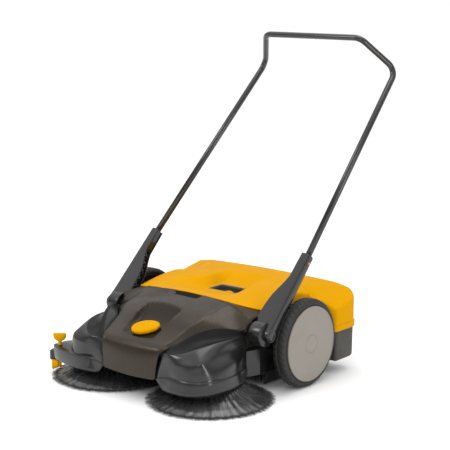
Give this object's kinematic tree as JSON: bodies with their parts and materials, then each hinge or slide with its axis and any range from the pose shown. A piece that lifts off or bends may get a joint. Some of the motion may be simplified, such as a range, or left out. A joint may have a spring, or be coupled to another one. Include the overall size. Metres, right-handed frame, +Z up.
{
  "type": "walk behind sweeper",
  "caption": "Hand-pushed floor sweeper with flat disc brushes, a roller brush between large wheels, a lift-out hopper with a yellow lid and a folding push handle.",
  "frame": {"origin": "centre of the footprint box, on the floor that the wheels and disc brushes stand on", "axes": "+Z up; +Y back towards the person who pushes; +X to that person's left; the sweeper moves towards -Y"},
  "size_m": [0.77, 1.0249, 1.0117],
  "materials": {
    "hood_plastic": "satin moulded, brown-grey",
    "charcoal_plastic": "satin moulded, charcoal",
    "frame_plastic": "fine grain moulded",
    "yellow_plastic": "satin moulded, amber yellow",
    "wheel_grey_plastic": "smooth, mid grey",
    "rim_plastic": "moulded, black",
    "tyre_rubber": "dark grey rubber with a tread",
    "seal_rubber": "matt black",
    "bristle_nylon": "black bristles",
    "black_tube": "gloss black powder coat on steel tube",
    "zinc_steel": "zinc plated",
    "gear_plastic": "natural acetal",
    "bearing_bronze": "sintered bronze"
  },
  "bodies": {
    "chassis": {"base_frame": "frame_plastic", "roller_tunnel": "frame_plastic", "hood": "hood_plastic", "brush_housing_left": "charcoal_plastic", "brush_housing_right": "charcoal_plastic", "corner_bracket": "charcoal_plastic", "drive_cover_left": "charcoal_plastic", "drive_cover_right": "charcoal_plastic", "stub_axle_left": "zinc_steel", "stub_axle_right": "zinc_steel", "pivot_pins": "zinc_steel", "spindle_bearings": "bearing_bronze", "shaft_bearings": "bearing_bronze", "drive_belt_left": "seal_rubber", "drive_belt_right": "seal_rubber", "dust_seals": "seal_rubber", "deck_screws": "zinc_steel", "guide_pin": "zinc_steel"},
    "roller_brush": {"roller_core": "rim_plastic", "roller_bristles": "bristle_nylon"},
    "handle": {"handle_tube": "black_tube", "handle_arm_left": "charcoal_plastic", "handle_arm_right": "charcoal_plastic"},
    "button_left": {"snap_button_left": "yellow_plastic"},
    "button_right": {"snap_button_right": "yellow_plastic"},
    "height_knob": {"height_knob": "yellow_plastic", "height_spindle": "zinc_steel"},
    "support_fork": {"support_fork": "frame_plastic"},
    "support_roller": {"support_roller": "frame_plastic"},
    "guide_roller": {"guide_roller": "charcoal_plastic"},
    "bristle_presser": {"bristle_presser": "yellow_plastic"},
    "wing_knob": {"wing_knob": "yellow_plastic"},
    "hopper": {"hopper_tub": "frame_plastic", "hopper_lid": "yellow_plastic", "hopper_front_panel": "frame_plastic", "grab_cup": "frame_plastic", "hopper_grip": "yellow_plastic"},
    "wheel_left": {"tyre_left": "tyre_rubber", "wheel_rim_left": "rim_plastic", "wheel_cover_left": "wheel_grey_plastic", "wheel_bush_left": "bearing_bronze"},
    "drive_pinion_left": {"drive_pinion_left": "gear_plastic"},
    "cross_shaft_left": {"cross_shaft_left": "zinc_steel", "cross_pulley_left": "gear_plastic", "bevel_pinion_left": "gear_plastic"},
    "disc_brush_left": {"brush_plate_left": "rim_plastic", "brush_bristles_left": "bristle_nylon", "bevel_gear_left": "gear_plastic"},
    "wheel_right": {"tyre_right": "tyre_rubber", "wheel_rim_right": "rim_plastic", "wheel_cover_right": "wheel_grey_plastic", "wheel_bush_right": "bearing_bronze"},
    "drive_pinion_right": {"drive_pinion_right": "gear_plastic"},
    "cross_shaft_right": {"cross_shaft_right": "zinc_steel", "cross_pulley_right": "gear_plastic", "bevel_pinion_right": "gear_plastic"},
    "disc_brush_right": {"brush_plate_right": "rim_plastic", "brush_bristles_right": "bristle_nylon", "bevel_gear_right": "gear_plastic"}
  },
  "joints": [
    {"name": "wheel_spin_left", "type": "hinge", "parent": "chassis", "child": "wheel_left", "pos_m": [0.32, -0.0387, 0.1326], "axis": [1, 0, 0], "continuous": true},
    {"name": "pinion_spin_left", "type": "hinge", "parent": "chassis", "child": "drive_pinion_left", "pos_m": [0.28, -0.081, 0.09], "axis": [1, 0, 0], "continuous": true},
    {"name": "cross_shaft_spin_left", "type": "hinge", "parent": "chassis", "child": "cross_shaft_left", "pos_m": [0.225, -0.3208, 0.108], "axis": [1, 0, 0], "continuous": true},
    {"name": "disc_brush_spin_left", "type": "hinge", "parent": "chassis", "child": "disc_brush_left", "pos_m": [0.1933, -0.3208, 0.07], "axis": [0, 0, 1], "continuous": true},
    {"name": "wheel_spin_right", "type": "hinge", "parent": "chassis", "child": "wheel_right", "pos_m": [-0.32, -0.0387, 0.1326], "axis": [1, 0, 0], "continuous": true},
    {"name": "pinion_spin_right", "type": "hinge", "parent": "chassis", "child": "drive_pinion_right", "pos_m": [-0.28, -0.081, 0.09], "axis": [1, 0, 0], "continuous": true},
    {"name": "cross_shaft_spin_right", "type": "hinge", "parent": "chassis", "child": "cross_shaft_right", "pos_m": [-0.225, -0.3208, 0.108], "axis": [1, 0, 0], "continuous": true},
    {"name": "disc_brush_spin_right", "type": "hinge", "parent": "chassis", "child": "disc_brush_right", "pos_m": [-0.1933, -0.3208, 0.07], "axis": [0, 0, 1], "continuous": true},
    {"name": "roller_brush_spin", "type": "hinge", "parent": "chassis", "child": "roller_brush", "pos_m": [0, -0.081, 0.09], "axis": [1, 0, 0], "continuous": true},
    {"name": "handle_fold", "type": "hinge", "parent": "chassis", "child": "handle", "pos_m": [0, -0.1994, 0.1866], "axis": [1, 0, 0], "range_deg": [0, 95]},
    {"name": "button_press_left", "type": "slide", "parent": "handle", "child": "button_left", "axis": [-1, 0, 0], "range_m": [0, 0.004], "stiffness_N_per_m": 400},
    {"name": "button_press_right", "type": "slide", "parent": "handle", "child": "button_right", "axis": [1, 0, 0], "range_m": [0, 0.004], "stiffness_N_per_m": 400},
    {"name": "height_knob_turn", "type": "hinge", "parent": "chassis", "child": "height_knob", "pos_m": [0, -0.3837, 0.19], "axis": [0, -0.342, 0.9397], "range_deg": [0, 180]},
    {"name": "support_height", "type": "slide", "parent": "chassis", "child": "support_fork", "axis": [0, 0, 1], "range_m": [-0.006, 0]},
    {"name": "support_roller_spin", "type": "hinge", "parent": "support_fork", "child": "support_roller", "pos_m": [0, -0.2037, 0.026], "axis": [1, 0, 0], "continuous": true},
    {"name": "guide_roller_spin", "type": "hinge", "parent": "chassis", "child": "guide_roller", "pos_m": [-0.358, -0.4127, 0.053], "axis": [0, 0, 1], "continuous": true},
    {"name": "presser_lift", "type": "slide", "parent": "chassis", "child": "bristle_presser", "axis": [0, 0, 1], "range_m": [0, 0.008]},
    {"name": "wing_knob_turn", "type": "hinge", "parent": "bristle_presser", "child": "wing_knob", "pos_m": [-0.32, -0.4227, 0.105], "axis": [0, 0, 1], "range_deg": [0, 180]},
    {"name": "hopper_pull", "type": "slide", "parent": "chassis", "child": "hopper", "axis": [0, 1, 0], "range_m": [0, 0.3]}
  ],
  "couplings": [
    {"joint": "pinion_spin_left", "follows": "wheel_spin_left", "ratio": 4.4286},
    {"joint": "cross_shaft_spin_left", "follows": "wheel_spin_left", "ratio": 2.2143},
    {"joint": "disc_brush_spin_left", "follows": "wheel_spin_left", "ratio": -1.1071},
    {"joint": "pinion_spin_right", "follows": "wheel_spin_right", "ratio": 4.4286},
    {"joint": "cross_shaft_spin_right", "follows": "wheel_spin_right", "ratio": 2.2143},
    {"joint": "disc_brush_spin_right", "follows": "wheel_spin_right", "ratio": 1.1071},
    {"joint": "roller_brush_spin", "follows": "wheel_spin_right", "ratio": 4.4286},
    {"joint": "height_knob_turn", "follows": "support_height", "rad_per_m": -523.5}
  ]
}
